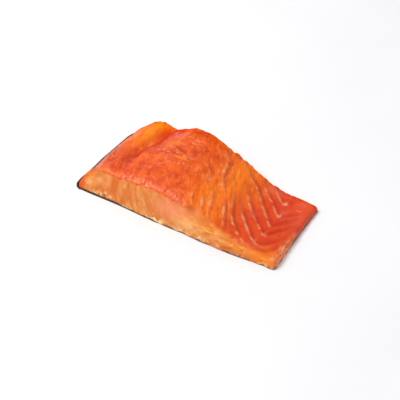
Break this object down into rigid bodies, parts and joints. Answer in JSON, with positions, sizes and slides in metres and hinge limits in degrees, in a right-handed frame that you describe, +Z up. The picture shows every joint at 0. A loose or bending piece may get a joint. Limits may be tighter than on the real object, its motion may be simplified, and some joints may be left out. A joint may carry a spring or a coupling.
{
  "type": "hot smoked salmon fillet",
  "caption": "Portion of hot smoked salmon lying on its skin: a thick loin with a groove beside the back edge, straight cuts, and a thin belly flap with arrowhead flakes.",
  "frame": {"origin": "middle of the portion, on the surface that the skin lies on", "axes": "+X across the side, from the back of the fish to its belly; +Y along the fish, from the front cut to the rear cut; +Z up"},
  "size_m": [0.192, 0.096, 0.0324],
  "materials": {
    "flesh": "semi-gloss smoked flesh, orange red on top, paler orange at the cuts",
    "skin": "satin fish skin, dark bronze at the back edge, paler towards the belly"
  },
  "bodies": {
    "root": {"flesh": "flesh", "skin": "skin"}
  },
  "joints": []
}
